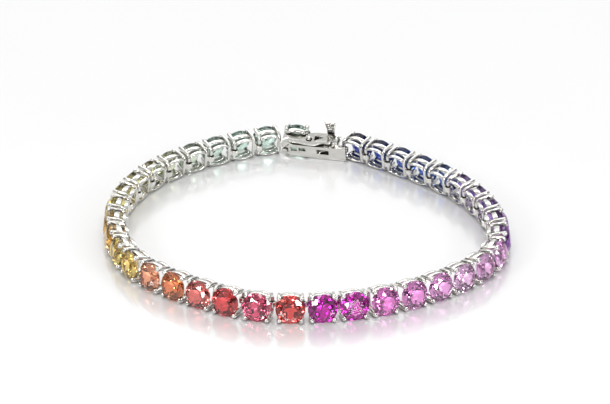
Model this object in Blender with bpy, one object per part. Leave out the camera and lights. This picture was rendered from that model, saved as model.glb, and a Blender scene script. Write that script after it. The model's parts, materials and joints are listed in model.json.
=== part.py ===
"""A fastened tennis bracelet standing on its edge, with its clasp at the back.

X runs to the right, Y away from the front and Z up, in metres. Each link is built in its own frame:
X along the chain, -Y out through the stone's table, +Y in towards the wrist and Z across the link.
"""

import math

import bmesh
import bpy
from mathutils import Matrix, Vector

MM = 0.001

# Stones
STONE_DIAMETER = 4.5 * MM
TABLE_DIAMETER = 2.6 * MM
CROWN_HEIGHT = 0.7 * MM
PAVILION_DEPTH = 1.85 * MM
GIRDLE_SIDES = 12
TABLE_SIDES = 6

# Four-prong settings, narrower towards the wrist. They stand on their lower faces, so they lean
LEAN = math.radians(8.5)
SEAT_DEPTH = 0.2 * MM
PRONG_ANGLE = math.radians(46)
PRONG_GRIP = 0.14 * MM
PRONG_THICKNESS = 0.56 * MM
PRONG_WIDTH = 0.77 * MM
PRONG_RISE = 0.48 * MM
BAR_DEPTH = 0.42 * MM
RAIL_WALL = 0.34 * MM
RAIL_DEPTH = 0.85 * MM
BASE_DEPTH = 0.6 * MM
RAIL_SLOT = 0.55 * MM
RAIL_STEPS = 3
RAIL_SPAN = math.radians(90)

# Hinges from link to link
LINK_COUNT = 37
LINK_GAP = 0.475 * MM
EYE_CLEARANCE = 0.1 * MM
EYE_WALL = 0.22 * MM
EYE_HEIGHT = 0.8 * MM
EYE_SIDES = 8
EYE_HOLE_SIDES = 6

# Route of the hinges, seen from above: its form only, because the chain's length sets its size
ROUTE = [
    (28.7 * MM, -2.5 * MM),
    (23.7 * MM, 10.3 * MM),
    (12.0 * MM, 22.0 * MM),
    (0.0, 28.9 * MM),
    (-13.8 * MM, 24.2 * MM),
    (-24.6 * MM, 14.3 * MM),
    (-29.0 * MM, 0.4 * MM),
    (-25.4 * MM, -15.3 * MM),
    (-12.5 * MM, -26.1 * MM),
    (-1.4 * MM, -29.0 * MM),
    (13.6 * MM, -25.5 * MM),
    (26.7 * MM, -14.8 * MM),
]
CLASP_TURN = 0.2718

# Box of the clasp
CLASP_LENGTH = 10.2 * MM
CLASP_LEAN = math.radians(18)
BOX_WIDTH = 2.5 * MM
BOX_WALL = 0.42 * MM
BOX_FRONT = 1.0 * MM
BOX_BACK = 3.6 * MM
CLASP_SETTING_DEPTH = 1.45 * MM
JOIN = 0.1 * MM
PLATE_THICKNESS = 0.45 * MM
PLATE_START = 0.045
PLATE_END = 1.05
PLATE_END_STEPS = 6
# Each slot's two ends as shares of the clasp's length from the chain's end, and its two sides as
# shares of the box's half width
PLATE_SLOTS = [
    {"start": 0.13, "end": 0.235, "low": -0.1, "high": 0.6},
    {"start": 0.265, "end": 0.38, "low": 0.0, "high": 0.55},
    {"start": 0.567, "end": 0.77, "low": -0.25, "high": 0.5},
]

# Tongue
TONGUE_CLEARANCE = 0.16 * MM
TONGUE_LEAF = 0.3 * MM
TONGUE_FOLD = 0.7 * MM
THUMB_WIDTH = 1.9 * MM
THUMB_NECK = 1.3 * MM
THUMB_THICKNESS = 0.4 * MM
THUMB_RISE = 3.3 * MM
THUMB_FROM_MOUTH = 0.85 * MM

# Safety latch
LATCH_THICKNESS = 0.4 * MM
LATCH_CLEARANCE = 0.15 * MM
STUD_RADIUS = 0.4 * MM
STUD_NECK_RADIUS = 0.22 * MM
PIN_RADIUS = 0.18 * MM
PIN_CLEARANCE = 0.06 * MM
PIN_EYE_WALL = 0.16 * MM
EAR_THICKNESS = 0.36 * MM
EAR_INSET = 0.2 * MM
EAR_SETBACK = 0.05 * MM
ROUND_SIDES = 8
STUD_AT = 0.425
STUD_DEPTH = 0.62
# Each station's place as a share of the clasp's length from the chain's end, and its two edges as
# shares of the box's depth from its outer side
LATCH_STATIONS = [
    {"at": 0.085, "outer": 0.74, "inner": 0.82},
    {"at": 0.11, "outer": 0.74, "inner": 0.87},
    {"at": 0.17, "outer": 0.76, "inner": 0.90},
    {"at": 0.27, "outer": 0.74, "inner": 0.93},
    {"at": 0.345, "outer": 0.50, "inner": 0.97},
    {"at": 0.42, "outer": 0.14, "inner": 1.00},
    {"at": 0.50, "outer": 0.06, "inner": 0.99},
    {"at": 0.59, "outer": 0.04, "inner": 0.92},
    {"at": 0.68, "outer": 0.04, "inner": 0.80},
    {"at": 0.775, "outer": 0.10, "inner": 0.82},
    {"at": 0.80, "outer": 0.36, "inner": 0.64},
]
LATCH_WINDOW = {"start": 0.51, "end": 0.625, "outer": 0.28, "inner": 0.72, "point": 0.40}

# Colours of the stones, from the clasp's own round the left side, the front and the right side
METAL = (0.86, 0.86, 0.87, 1.0)
STONE_COLOURS = [
    {"name": "mint_green", "stones": 4, "colour": (0.36, 0.78, 0.6, 1.0)},
    {"name": "pale_green", "stones": 2, "colour": (0.5, 0.74, 0.4, 1.0)},
    {"name": "lemon_yellow", "stones": 4, "colour": (0.85, 0.75, 0.2, 1.0)},
    {"name": "amber", "stones": 2, "colour": (0.75, 0.38, 0.08, 1.0)},
    {"name": "golden_yellow", "stones": 2, "colour": (0.95, 0.6, 0.06, 1.0)},
    {"name": "orange", "stones": 2, "colour": (0.9, 0.24, 0.05, 1.0)},
    {"name": "coral", "stones": 2, "colour": (0.85, 0.12, 0.07, 1.0)},
    {"name": "rose_red", "stones": 1, "colour": (0.75, 0.05, 0.12, 1.0)},
    {"name": "vermilion", "stones": 1, "colour": (0.8, 0.08, 0.06, 1.0)},
    {"name": "fuchsia", "stones": 2, "colour": (0.55, 0.01, 0.36, 1.0)},
    {"name": "hot_pink", "stones": 3, "colour": (0.85, 0.06, 0.42, 1.0)},
    {"name": "light_pink", "stones": 3, "colour": (0.9, 0.35, 0.62, 1.0)},
    {"name": "violet", "stones": 2, "colour": (0.3, 0.06, 0.5, 1.0)},
    {"name": "lilac", "stones": 3, "colour": (0.42, 0.2, 0.62, 1.0)},
    {"name": "sapphire_blue", "stones": 5, "colour": (0.02, 0.07, 0.42, 1.0)},
]

stone_radius = STONE_DIAMETER / 2
grip_radius = stone_radius - PRONG_GRIP
prong_inner_x = grip_radius * math.cos(PRONG_ANGLE)
prong_inner_z = grip_radius * math.sin(PRONG_ANGLE)
frame_x = prong_inner_x + PRONG_THICKNESS / 2
link_pitch = 2 * (prong_inner_x + PRONG_THICKNESS) + LINK_GAP

mid_rail_front = SEAT_DEPTH + RAIL_SLOT
base_rail_front = mid_rail_front + RAIL_DEPTH + RAIL_SLOT
basket_depth = base_rail_front + BASE_DEPTH
hinge_y = basket_depth - BAR_DEPTH / 2
eye_apothem = math.hypot(PRONG_THICKNESS, BAR_DEPTH) / 2 + EYE_CLEARANCE
eye_hole = eye_apothem / math.cos(math.pi / EYE_HOLE_SIDES)


def half_width(y):
    """Half the link's width at a depth behind the girdle."""
    return prong_inner_z + PRONG_WIDTH - y * math.tan(LEAN)


def clear_scene():
    for item in list(bpy.data.objects):
        bpy.data.objects.remove(item, do_unlink=True)


def material(name, colour, roughness, metallic):
    made = bpy.data.materials.new(name)
    made.use_nodes = True
    shader = made.node_tree.nodes["Principled BSDF"]
    shader.inputs["Base Color"].default_value = colour
    shader.inputs["Roughness"].default_value = roughness
    shader.inputs["Metallic"].default_value = metallic
    made.diffuse_color = colour
    return made


def solid(bm, stone=False):
    """The finished mesh of a bmesh, all its faces metal or all of them stone."""
    bmesh.ops.recalc_face_normals(bm, faces=bm.faces)
    for face in bm.faces:
        face.material_index = int(stone)
    mesh = bpy.data.meshes.new("solid")
    bm.to_mesh(mesh)
    bm.free()
    mesh.materials.append(None)
    mesh.materials.append(None)
    return mesh


def block(x, y, z):
    """A box from its low and high value along each axis."""
    bm = bmesh.new()
    size = Matrix.Diagonal((x[1] - x[0], y[1] - y[0], z[1] - z[0], 1))
    middle = Matrix.Translation(((x[0] + x[1]) / 2, (y[0] + y[1]) / 2, (z[0] + z[1]) / 2))
    bmesh.ops.create_cube(bm, size=1, matrix=middle @ size)
    return solid(bm)


def prism(outline, axis, low, high):
    """An outline of (x, y), (x, z) or (y, z) pairs extruded along the third axis."""
    place = {
        "x": lambda a, b, c: (c, a, b),
        "y": lambda a, b, c: (a, c, b),
        "z": lambda a, b, c: (a, b, c),
    }[axis]
    bm = bmesh.new()
    face = bm.faces.new([bm.verts.new(place(a, b, low)) for a, b in outline])
    raised = bmesh.ops.extrude_face_region(bm, geom=[face])["geom"]
    moved = [item for item in raised if isinstance(item, bmesh.types.BMVert)]
    bmesh.ops.translate(bm, verts=moved, vec=place(0, 0, high - low))
    return solid(bm)


def circle(radius, sides, middle=(0.0, 0.0)):
    """Corners of a regular polygon that lies on a flat side."""
    turns = [2 * math.pi * (step + 0.5) / sides for step in range(sides)]
    return [(middle[0] + radius * math.cos(t), middle[1] + radius * math.sin(t)) for t in turns]


def brilliant():
    """A round cut stone with its table, crown facets and pavilion, and the seat under its girdle."""
    bm = bmesh.new()
    for radius, sides, y in (
        (TABLE_DIAMETER / 2, TABLE_SIDES, -CROWN_HEIGHT),
        (stone_radius, GIRDLE_SIDES, 0.0),
        (stone_radius, GIRDLE_SIDES, SEAT_DEPTH),
    ):
        for step in range(sides):
            turn = 2 * math.pi * step / sides
            bm.verts.new((radius * math.cos(turn), y, radius * math.sin(turn)))
    bm.verts.new((0, max(PAVILION_DEPTH, SEAT_DEPTH + JOIN), 0))
    bmesh.ops.convex_hull(bm, input=bm.verts)
    return solid(bm, stone=True)


def end_frame(x, depth):
    """The two prongs at one end of a setting, and the bar that joins their feet."""
    bar_front = depth - BAR_DEPTH
    half = [
        (depth, half_width(depth)),
        (-PRONG_RISE, half_width(-PRONG_RISE)),
        (-PRONG_RISE, half_width(-PRONG_RISE) - PRONG_WIDTH),
        (bar_front, half_width(bar_front) - PRONG_WIDTH),
    ]
    outline = half + [(y, -z) for y, z in reversed(half)]
    return prism(outline, "x", x - PRONG_THICKNESS / 2, x + PRONG_THICKNESS / 2)


def rail(front, depth, side):
    """One of the two arcs of a gallery rail, from prong to prong above the stone or below it."""
    end_x = prong_inner_x + JOIN
    top = half_width(front + depth)
    prong_z = half_width(front) - PRONG_WIDTH
    outline = []
    for radius, end_z in ((top, prong_z + 2 * JOIN), (top - RAIL_WALL, prong_z + JOIN / 2)):
        turns = [
            math.pi / 2 + RAIL_SPAN * (step / RAIL_STEPS - 0.5) for step in range(1, RAIL_STEPS)
        ]
        arc = [(end_x, end_z)]
        arc += [(radius * math.cos(t), radius * math.sin(t)) for t in turns]
        arc += [(-end_x, end_z)]
        outline += reversed(arc) if outline else arc
    return prism([(x, side * z) for x, z in outline], "y", front, front + depth)


def ball(radius, middle, segments, rings):
    bm = bmesh.new()
    bmesh.ops.create_uvsphere(
        bm, u_segments=segments, v_segments=rings, radius=radius, matrix=Matrix.Translation(middle)
    )
    return solid(bm)


def moved(mesh, matrix):
    mesh.transform(matrix)
    return mesh


def fuse(solids, cutters=()):
    """One body from meshes that run into each other, less the cutters."""
    made = bpy.data.objects.new("fused", solids[0])
    bpy.context.collection.objects.link(made)
    helpers = []
    for operation, meshes in (("UNION", solids[1:]), ("DIFFERENCE", cutters)):
        for mesh in meshes:
            helper = bpy.data.objects.new("helper", mesh)
            bpy.context.collection.objects.link(helper)
            helpers.append(helper)
            boolean = made.modifiers.new(operation, "BOOLEAN")
            boolean.operation = operation
            boolean.object = helper
    graph = bpy.context.evaluated_depsgraph_get()
    result = bpy.data.meshes.new_from_object(made.evaluated_get(graph))
    for item in [made, *helpers]:
        bpy.data.objects.remove(item)
    bm = bmesh.new()
    bm.from_mesh(result)
    bmesh.ops.remove_doubles(bm, verts=bm.verts, dist=1e-7)
    bmesh.ops.dissolve_limit(
        bm,
        angle_limit=math.radians(1),
        verts=bm.verts,
        edges=bm.edges,
        delimit={"MATERIAL"},
    )
    bmesh.ops.triangulate(bm, faces=bm.faces)
    bm.to_mesh(result)
    bm.free()
    return result


def hinge_eye(bar_x, to_x):
    """An eye round the bar at bar_x with the neck that carries it from to_x, and its hole."""
    outer = (eye_apothem + EYE_WALL) / math.cos(math.pi / EYE_SIDES)
    middle = (bar_x, hinge_y)
    neck = BAR_DEPTH / 2 - JOIN / 4
    outline = [point for point in circle(outer, EYE_SIDES, middle) if point[0] < bar_x + JOIN]
    outline += [
        (bar_x + eye_apothem + EYE_WALL, hinge_y - neck),
        (to_x, hinge_y - neck),
        (to_x, hinge_y + neck),
        (bar_x + eye_apothem + EYE_WALL, hinge_y + neck),
    ]
    eye = prism(outline, "z", -EYE_HEIGHT / 2, EYE_HEIGHT / 2)
    hole = prism(circle(eye_hole, EYE_HOLE_SIDES, middle), "z", -EYE_HEIGHT, EYE_HEIGHT)
    return fuse([eye], [hole])


def link_mesh():
    """A stone in its open basket, with a hinge bar at one end and an eye at the other."""
    solids = [brilliant(), end_frame(frame_x, basket_depth), end_frame(-frame_x, basket_depth)]
    for side in (-1, 1):
        solids.append(rail(mid_rail_front, RAIL_DEPTH, side))
        solids.append(rail(base_rail_front, BASE_DEPTH - JOIN, side))
    solids.append(hinge_eye(frame_x - link_pitch, -frame_x))
    return fuse(solids)


def route_point(turn, scale):
    """The point of the closed route at a share of a full turn, smooth through the chosen points."""
    count = len(ROUTE)
    place = (turn % 1.0) * count
    first = int(place)
    u = place - first
    p0, p1, p2, p3 = (Vector(ROUTE[(first + step) % count]) for step in (-1, 0, 1, 2))
    point = (
        2 * p1
        + (p2 - p0) * u
        + (2 * p0 - 5 * p1 + 4 * p2 - p3) * u**2
        + (3 * p1 - p0 - 3 * p2 + p3) * u**3
    )
    return point * (scale / 2)


def bisect(too_low, low, high, steps=40):
    """The value at which too_low(value) turns from true to false."""
    for _ in range(steps):
        middle = (low + high) / 2
        if too_low(middle):
            low = middle
        else:
            high = middle
    return (low + high) / 2


def next_turn(turn, length, scale):
    """Where a straight piece of this length that starts on the route meets it again."""
    here = route_point(turn, scale)
    return bisect(
        lambda there: (route_point(there, scale) - here).length < length, turn, turn + 0.3
    )


def hinge_turns(scale):
    """The turn of each hinge round the route, from the clasp's end of the chain to its other end."""
    turns = [CLASP_TURN]
    for _ in range(LINK_COUNT):
        turns.append(next_turn(turns[-1], link_pitch, scale))
    return turns


def chain_fits_short(scale):
    turns = hinge_turns(scale)
    return next_turn(turns[-1], CLASP_LENGTH, scale) > turns[0] + 1


def frame_between(start, end, lean):
    """The frame of a link whose far hinge bar is at start and whose own is at end."""
    along = (end - start).normalized()
    turned = Matrix.Rotation(math.atan2(along.y, along.x), 4, "Z")
    turned = turned @ Matrix.Rotation(-lean, 4, "X")
    origin = Vector((end.x, end.y, 0)) - turned @ Vector((frame_x, hinge_y, 0))
    return Matrix.Translation(origin) @ turned


def clasp_x(share):
    """A place on the clasp, as a share of its length from the hinge bar next to its stone."""
    return frame_x - share * CLASP_LENGTH


def box_y(share):
    return BOX_FRONT + share * (BOX_BACK + PLATE_THICKNESS - BOX_FRONT)


mouth_x = clasp_x(1) + PRONG_THICKNESS / 2 + LINK_GAP
half_box = BOX_WIDTH / 2
half_pocket = half_box - BOX_WALL
pocket_end = -stone_radius
pocket_front = BOX_FRONT + BOX_WALL
pocket_back = BOX_BACK - BOX_WALL
half_tongue = half_pocket - TONGUE_CLEARANCE
thumb_low_x = mouth_x + THUMB_FROM_MOUTH
thumb_middle_x = thumb_low_x + THUMB_WIDTH / 2
latch_low = half_box + LATCH_CLEARANCE
pin_eye_hole = PIN_RADIUS + PIN_CLEARANCE
pin_z = latch_low + LATCH_THICKNESS / 2
ear_reach = pin_eye_hole + PIN_EYE_WALL + EAR_INSET
pin_x = mouth_x + EAR_SETBACK + ear_reach
ear_inner = box_y(0.3)
ear_outer = box_y(0.7)


def plate():
    """The pierced plate against the wrist, rounded at the chain's end."""
    end = clasp_x(PLATE_START) - half_box
    far = clasp_x(PLATE_END)
    turns = [
        math.pi / 2 - math.pi * step / PLATE_END_STEPS for step in range(PLATE_END_STEPS + 1)
    ]
    outline = [(end + half_box * math.cos(t), half_box * math.sin(t)) for t in turns]
    outline += [(far, -half_box), (far, half_box)]
    return prism(outline, "y", BOX_BACK - JOIN, BOX_BACK + PLATE_THICKNESS)


def plate_slots():
    return [
        block(
            (clasp_x(slot["end"]), clasp_x(slot["start"])),
            (pocket_back - JOIN, BOX_BACK + PLATE_THICKNESS + JOIN),
            (slot["low"] * half_box, slot["high"] * half_box),
        )
        for slot in PLATE_SLOTS
    ]


def ears():
    """The two ears that hold the latch's pin, on top of the box."""
    top = pin_z + pin_eye_hole + PIN_EYE_WALL
    outline = [
        (pin_x - ear_reach, half_box - JOIN),
        (pin_x + ear_reach, half_box - JOIN),
        (pin_x + ear_reach / 2, top),
        (pin_x - ear_reach / 2, top),
    ]
    return [
        prism(outline, "y", ear_inner - EAR_THICKNESS, ear_inner),
        prism(outline, "y", ear_outer, ear_outer + EAR_THICKNESS),
    ]


def box_mesh():
    """The clasp's box with its own set stone, hinge bar, pierced plate, stud and ears."""
    cheek_end = frame_x + PRONG_THICKNESS / 2
    shell = block((mouth_x, cheek_end), (BOX_FRONT, BOX_BACK), (-half_box, half_box))
    pocket = block(
        (mouth_x - JOIN, pocket_end), (pocket_front, pocket_back), (-half_pocket, half_pocket)
    )
    under_stone = block(
        (pocket_end + BOX_WALL, cheek_end + JOIN),
        (BOX_FRONT - JOIN, pocket_back),
        (-half_pocket, half_pocket),
    )
    end_gap = block(
        (cheek_end - PRONG_THICKNESS - EYE_CLEARANCE - eye_hole, cheek_end + JOIN),
        (pocket_back - JOIN, BOX_BACK + PLATE_THICKNESS + JOIN),
        (-EYE_HEIGHT / 2 - EYE_CLEARANCE, EYE_HEIGHT / 2 + EYE_CLEARANCE),
    )
    thumb_slot = block(
        (mouth_x - JOIN, thumb_middle_x + THUMB_NECK / 2 + TONGUE_CLEARANCE),
        (BOX_FRONT - JOIN, pocket_front + JOIN),
        (-half_tongue, half_tongue),
    )
    shell = fuse([shell], [pocket, under_stone, thumb_slot])
    solids = [shell, brilliant()]
    solids += [end_frame(x, CLASP_SETTING_DEPTH) for x in (-frame_x, frame_x)]
    solids += [rail(mid_rail_front, RAIL_DEPTH, side) for side in (-1, 1)]
    solids.append(
        block(
            (frame_x - PRONG_THICKNESS / 2, frame_x + PRONG_THICKNESS / 2),
            (hinge_y - BAR_DEPTH / 2, hinge_y + BAR_DEPTH / 2),
            (-half_pocket - JOIN, half_pocket + JOIN),
        )
    )
    solids.append(plate())
    solids += ears()
    stud_x = clasp_x(STUD_AT)
    stud_y = box_y(STUD_DEPTH)
    stud_z = latch_low + LATCH_THICKNESS + STUD_RADIUS / 2
    solids.append(
        prism(
            circle(STUD_NECK_RADIUS, ROUND_SIDES, (stud_x, stud_y)), "z", half_box - JOIN, stud_z
        )
    )
    solids.append(ball(STUD_RADIUS, (stud_x, stud_y, stud_z), ROUND_SIDES, 6))
    pin_hole = prism(
        circle(pin_eye_hole, ROUND_SIDES, (pin_x, pin_z)),
        "y",
        ear_inner - EAR_THICKNESS - JOIN,
        ear_outer + EAR_THICKNESS + JOIN,
    )
    return fuse(solids, [pin_hole, end_gap, *plate_slots()])


def tongue_mesh():
    """The folded spring tongue, the eye that joins it to the chain and its thumb tab."""
    butt_x = clasp_x(1) + eye_apothem
    fold_x = pocket_end - 2 * TONGUE_CLEARANCE
    back = hinge_y + TONGUE_LEAF
    leaf_end = thumb_middle_x - THUMB_NECK / 2
    leaf_front = pocket_front + TONGUE_CLEARANCE
    fold = [
        (butt_x, back - TONGUE_LEAF),
        (butt_x, back),
        (fold_x - TONGUE_LEAF, back),
        (fold_x, back - TONGUE_FOLD / 2),
        (fold_x - TONGUE_LEAF, back - TONGUE_FOLD),
        (leaf_end, leaf_front),
        (leaf_end, leaf_front + TONGUE_LEAF),
        (fold_x - 2 * TONGUE_LEAF, back - TONGUE_LEAF),
    ]
    thumb_back = BOX_FRONT - TONGUE_CLEARANCE
    top = half_width(0) + THUMB_RISE / 2
    thumb = [
        (thumb_middle_x - THUMB_NECK / 2, -half_tongue + TONGUE_CLEARANCE),
        (thumb_middle_x + THUMB_NECK / 2, -half_tongue + TONGUE_CLEARANCE),
        (thumb_middle_x + THUMB_NECK / 2, top - THUMB_RISE / 2),
        (thumb_middle_x + THUMB_WIDTH / 2, top),
        (thumb_middle_x - THUMB_WIDTH / 2, top),
        (thumb_middle_x - THUMB_NECK / 2, top - THUMB_RISE / 2),
    ]
    root = block(
        (thumb_middle_x - THUMB_NECK / 2 + JOIN, thumb_middle_x + THUMB_NECK / 2 - JOIN),
        (thumb_back - THUMB_THICKNESS / 2, leaf_front + TONGUE_LEAF / 2),
        (-half_tongue + 2 * TONGUE_CLEARANCE, half_tongue - 2 * TONGUE_CLEARANCE),
    )
    return fuse(
        [
            prism(fold, "z", -half_tongue, half_tongue),
            root,
            prism(thumb, "y", thumb_back - THUMB_THICKNESS, thumb_back),
            hinge_eye(clasp_x(1), butt_x + 2 * TONGUE_LEAF),
        ]
    )


def latch_mesh():
    """The wavy safety latch, about its pin: a flat lever with an eye, a stud hole and a window."""
    outline = [(clasp_x(row["at"]), box_y(row["outer"])) for row in LATCH_STATIONS]
    outline += [(clasp_x(row["at"]), box_y(row["inner"])) for row in reversed(LATCH_STATIONS)]
    latch_top = latch_low + LATCH_THICKNESS
    lever = prism(outline, "z", latch_low, latch_top)
    arm = block(
        (pin_x, clasp_x(LATCH_STATIONS[-1]["at"]) + JOIN),
        (ear_inner + LATCH_CLEARANCE, ear_outer - LATCH_CLEARANCE),
        (latch_low, latch_top),
    )
    barrel = prism(
        circle(pin_eye_hole + PIN_EYE_WALL, ROUND_SIDES, (pin_x, pin_z)),
        "y",
        ear_inner + LATCH_CLEARANCE,
        ear_outer - LATCH_CLEARANCE,
    )
    pin_hole = prism(
        circle(pin_eye_hole, ROUND_SIDES, (pin_x, pin_z)), "y", box_y(0), box_y(1)
    )
    stud_hole = prism(
        circle(STUD_RADIUS + LATCH_CLEARANCE, ROUND_SIDES, (clasp_x(STUD_AT), box_y(STUD_DEPTH))),
        "z",
        latch_low - JOIN,
        latch_top + JOIN,
    )
    window = prism(
        [
            (clasp_x(LATCH_WINDOW["start"]), box_y(LATCH_WINDOW["outer"])),
            (clasp_x(LATCH_WINDOW["start"]), box_y(LATCH_WINDOW["inner"])),
            (clasp_x(LATCH_WINDOW["end"]), box_y(LATCH_WINDOW["point"])),
        ],
        "z",
        latch_low - JOIN,
        latch_top + JOIN,
    )
    made = fuse([lever, arm, barrel], [pin_hole, stud_hole, window])
    return moved(made, Matrix.Translation((-pin_x, -box_y(0.5), -pin_z)))


def pin_mesh():
    """The pin through the ears and the latch's eye."""
    return prism(
        circle(PIN_RADIUS, ROUND_SIDES), "y", ear_inner - EAR_THICKNESS, ear_outer + EAR_THICKNESS
    )


def add_piece(name, mesh, place, parent, materials):
    piece = bpy.data.objects.new(name, mesh)
    bpy.context.collection.objects.link(piece)
    piece.parent = parent
    piece.matrix_local = place
    for index, finish in enumerate(materials):
        if finish is not None:
            piece.material_slots[index].link = "OBJECT"
            piece.material_slots[index].material = finish
    return piece


def stone_materials():
    """One stone finish for each place of the chain, the clasp's own stone first."""
    finishes = []
    for row in STONE_COLOURS:
        finishes += [material("stone_" + row["name"], row["colour"], 0.03, 0.0)] * row["stones"]
    return finishes


def stand_on_origin(parent):
    """Moves the whole bracelet so that it stands on Z = 0 with its middle on the Z axis."""
    bpy.context.view_layer.update()
    corners = [
        piece.matrix_world @ vertex.co
        for piece in parent.children_recursive
        for vertex in piece.data.vertices
    ]
    low = [min(corner[axis] for corner in corners) for axis in range(3)]
    high = [max(corner[axis] for corner in corners) for axis in range(3)]
    parent.location = (-(low[0] + high[0]) / 2, -(low[1] + high[1]) / 2, -low[2])


def build():
    clear_scene()
    metal = material("rhodium_silver", METAL, 0.08, 1.0)
    stones = stone_materials()
    bracelet = bpy.data.objects.new("bracelet", None)
    bpy.context.collection.objects.link(bracelet)

    scale = bisect(chain_fits_short, 0.5, 2.0)
    hinges = [route_point(turn, scale) for turn in hinge_turns(scale)]
    mesh = link_mesh()
    for index, (start, end) in enumerate(zip(hinges, hinges[1:])):
        add_piece(
            f"link_{index + 1:02d}",
            mesh,
            frame_between(start, end, LEAN),
            bracelet,
            (metal, stones[(index + 1) % len(stones)]),
        )

    clasp = frame_between(hinges[-1], hinges[0], CLASP_LEAN)
    pivot = clasp @ Matrix.Translation((pin_x, box_y(0.5), pin_z))
    add_piece("clasp_box", box_mesh(), clasp, bracelet, (metal, stones[0]))
    add_piece("clasp_tongue", tongue_mesh(), clasp, bracelet, (metal, None))
    add_piece("safety_latch", latch_mesh(), pivot, bracelet, (metal, None))
    add_piece(
        "latch_pin",
        pin_mesh(),
        clasp @ Matrix.Translation((pin_x, 0, pin_z)),
        bracelet,
        (metal, None),
    )
    stand_on_origin(bracelet)


build()
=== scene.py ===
"""The looks of a fastened tennis bracelet that stands on its edge, with its clasp at the back.

Lengths are in metres. Each setting is made in its link's own frame: X along the chain, -Y out
through the stone's table, +Y in towards the wrist and Z across the link.
"""

import json
import math

import bmesh
import bpy
from mathutils import Matrix, Vector


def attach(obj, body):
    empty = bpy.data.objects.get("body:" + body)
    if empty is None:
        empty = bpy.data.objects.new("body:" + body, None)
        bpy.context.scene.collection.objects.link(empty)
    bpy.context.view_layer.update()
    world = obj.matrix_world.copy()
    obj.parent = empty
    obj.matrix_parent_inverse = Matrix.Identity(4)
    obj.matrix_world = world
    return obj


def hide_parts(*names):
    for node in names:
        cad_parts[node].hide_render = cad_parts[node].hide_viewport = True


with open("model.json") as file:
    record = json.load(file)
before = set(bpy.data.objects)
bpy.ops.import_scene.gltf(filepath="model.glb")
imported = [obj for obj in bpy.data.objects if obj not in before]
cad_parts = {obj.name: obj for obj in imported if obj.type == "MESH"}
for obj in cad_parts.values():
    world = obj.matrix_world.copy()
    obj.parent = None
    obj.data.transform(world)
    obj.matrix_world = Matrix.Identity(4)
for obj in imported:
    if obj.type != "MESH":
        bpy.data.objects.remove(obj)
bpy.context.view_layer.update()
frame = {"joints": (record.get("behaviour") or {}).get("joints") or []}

MM = 0.001

# Stones, as in the solids
STONE_DIAMETER = 4.5 * MM
TABLE_DIAMETER = 2.6 * MM
CROWN_HEIGHT = 0.7 * MM
PAVILION_DEPTH = 1.85 * MM
GIRDLE_THICKNESS = 0.09 * MM
STAR_REACH = 0.55
PAVILION_BREAK = 0.5
PAVILION_SLOPE = math.tan(math.radians(42))

# Settings, as in the solids
LEAN = math.radians(8.5)
PRONG_ANGLE = math.radians(46)
PRONG_GRIP = 0.14 * MM
PRONG_THICKNESS = 0.56 * MM
PRONG_WIDTH = 0.77 * MM
PRONG_RISE = 0.48 * MM
SEAT_DEPTH = 0.2 * MM
BAR_DEPTH = 0.42 * MM
RAIL_WALL = 0.34 * MM
RAIL_DEPTH = 0.85 * MM
BASE_DEPTH = 0.6 * MM
RAIL_SLOT = 0.55 * MM
LINK_COUNT = 37
LINK_GAP = 0.475 * MM
EYE_CLEARANCE = 0.1 * MM
EYE_WALL = 0.22 * MM
EYE_HEIGHT = 0.8 * MM

# Rounded forms of the settings
BEAD_RADIUS = 0.385 * MM
BEAD_LEAN = 0.17 * MM
CORNER_RADIUS = 0.75 * MM
PRONG_STATIONS = (0.0, 0.18, 0.4, 0.7, 1.0)
BEAD_LEAN_REACH = 0.4
PRONG_TIP_WIDTH = 0.84 * PRONG_WIDTH
PRONG_FOOT_WIDTH = 0.94 * PRONG_WIDTH
FOOT_STATION = 0.35
CORNER_STEPS = 4
WIRE_SIDES = 12
WIRE_SQUARENESS = 2.8
RAIL_SIDES = 16
RAIL_SQUARENESS = 5
ARC_STEPS = 12
DOME_RINGS = ((0.5, 0.866), (0.866, 0.5))

# Route of the hinges, seen from above, as in the solids. These points were not set by hand: they
# are the result of a least-squares fit to places read off the photograph
ROUTE = [
    (28.7 * MM, -2.5 * MM),
    (23.7 * MM, 10.3 * MM),
    (12.0 * MM, 22.0 * MM),
    (0.0, 28.9 * MM),
    (-13.8 * MM, 24.2 * MM),
    (-24.6 * MM, 14.3 * MM),
    (-29.0 * MM, 0.4 * MM),
    (-25.4 * MM, -15.3 * MM),
    (-12.5 * MM, -26.1 * MM),
    (-1.4 * MM, -29.0 * MM),
    (13.6 * MM, -25.5 * MM),
    (26.7 * MM, -14.8 * MM),
]
CLASP_TURN = 0.2718

# Clasp, as in the solids
CLASP_LENGTH = 10.2 * MM
CLASP_LEAN = math.radians(18)
BOX_WIDTH = 2.5 * MM
BOX_WALL = 0.42 * MM
BOX_FRONT = 1.0 * MM
BOX_BACK = 3.6 * MM
CLASP_SETTING_DEPTH = 1.45 * MM
PLATE_THICKNESS = 0.45 * MM
PLATE_START = 0.045
PLATE_END = 1.05
PLATE_SLOTS = [
    {"start": 0.13, "end": 0.235, "low": -0.1, "high": 0.6},
    {"start": 0.265, "end": 0.38, "low": 0.0, "high": 0.55},
    {"start": 0.567, "end": 0.77, "low": -0.25, "high": 0.5},
]
TONGUE_CLEARANCE = 0.16 * MM
TONGUE_LEAF = 0.3 * MM
TONGUE_FOLD = 0.7 * MM
THUMB_WIDTH = 1.9 * MM
THUMB_NECK = 1.3 * MM
THUMB_THICKNESS = 0.4 * MM
THUMB_RISE = 3.3 * MM
THUMB_FROM_MOUTH = 0.85 * MM
LATCH_THICKNESS = 0.4 * MM
LATCH_CLEARANCE = 0.15 * MM
STUD_RADIUS = 0.4 * MM
STUD_NECK_RADIUS = 0.22 * MM
PIN_RADIUS = 0.18 * MM
PIN_CLEARANCE = 0.06 * MM
PIN_EYE_WALL = 0.16 * MM
EAR_THICKNESS = 0.36 * MM
EAR_INSET = 0.2 * MM
EAR_SETBACK = 0.05 * MM
STUD_AT = 0.425
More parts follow.
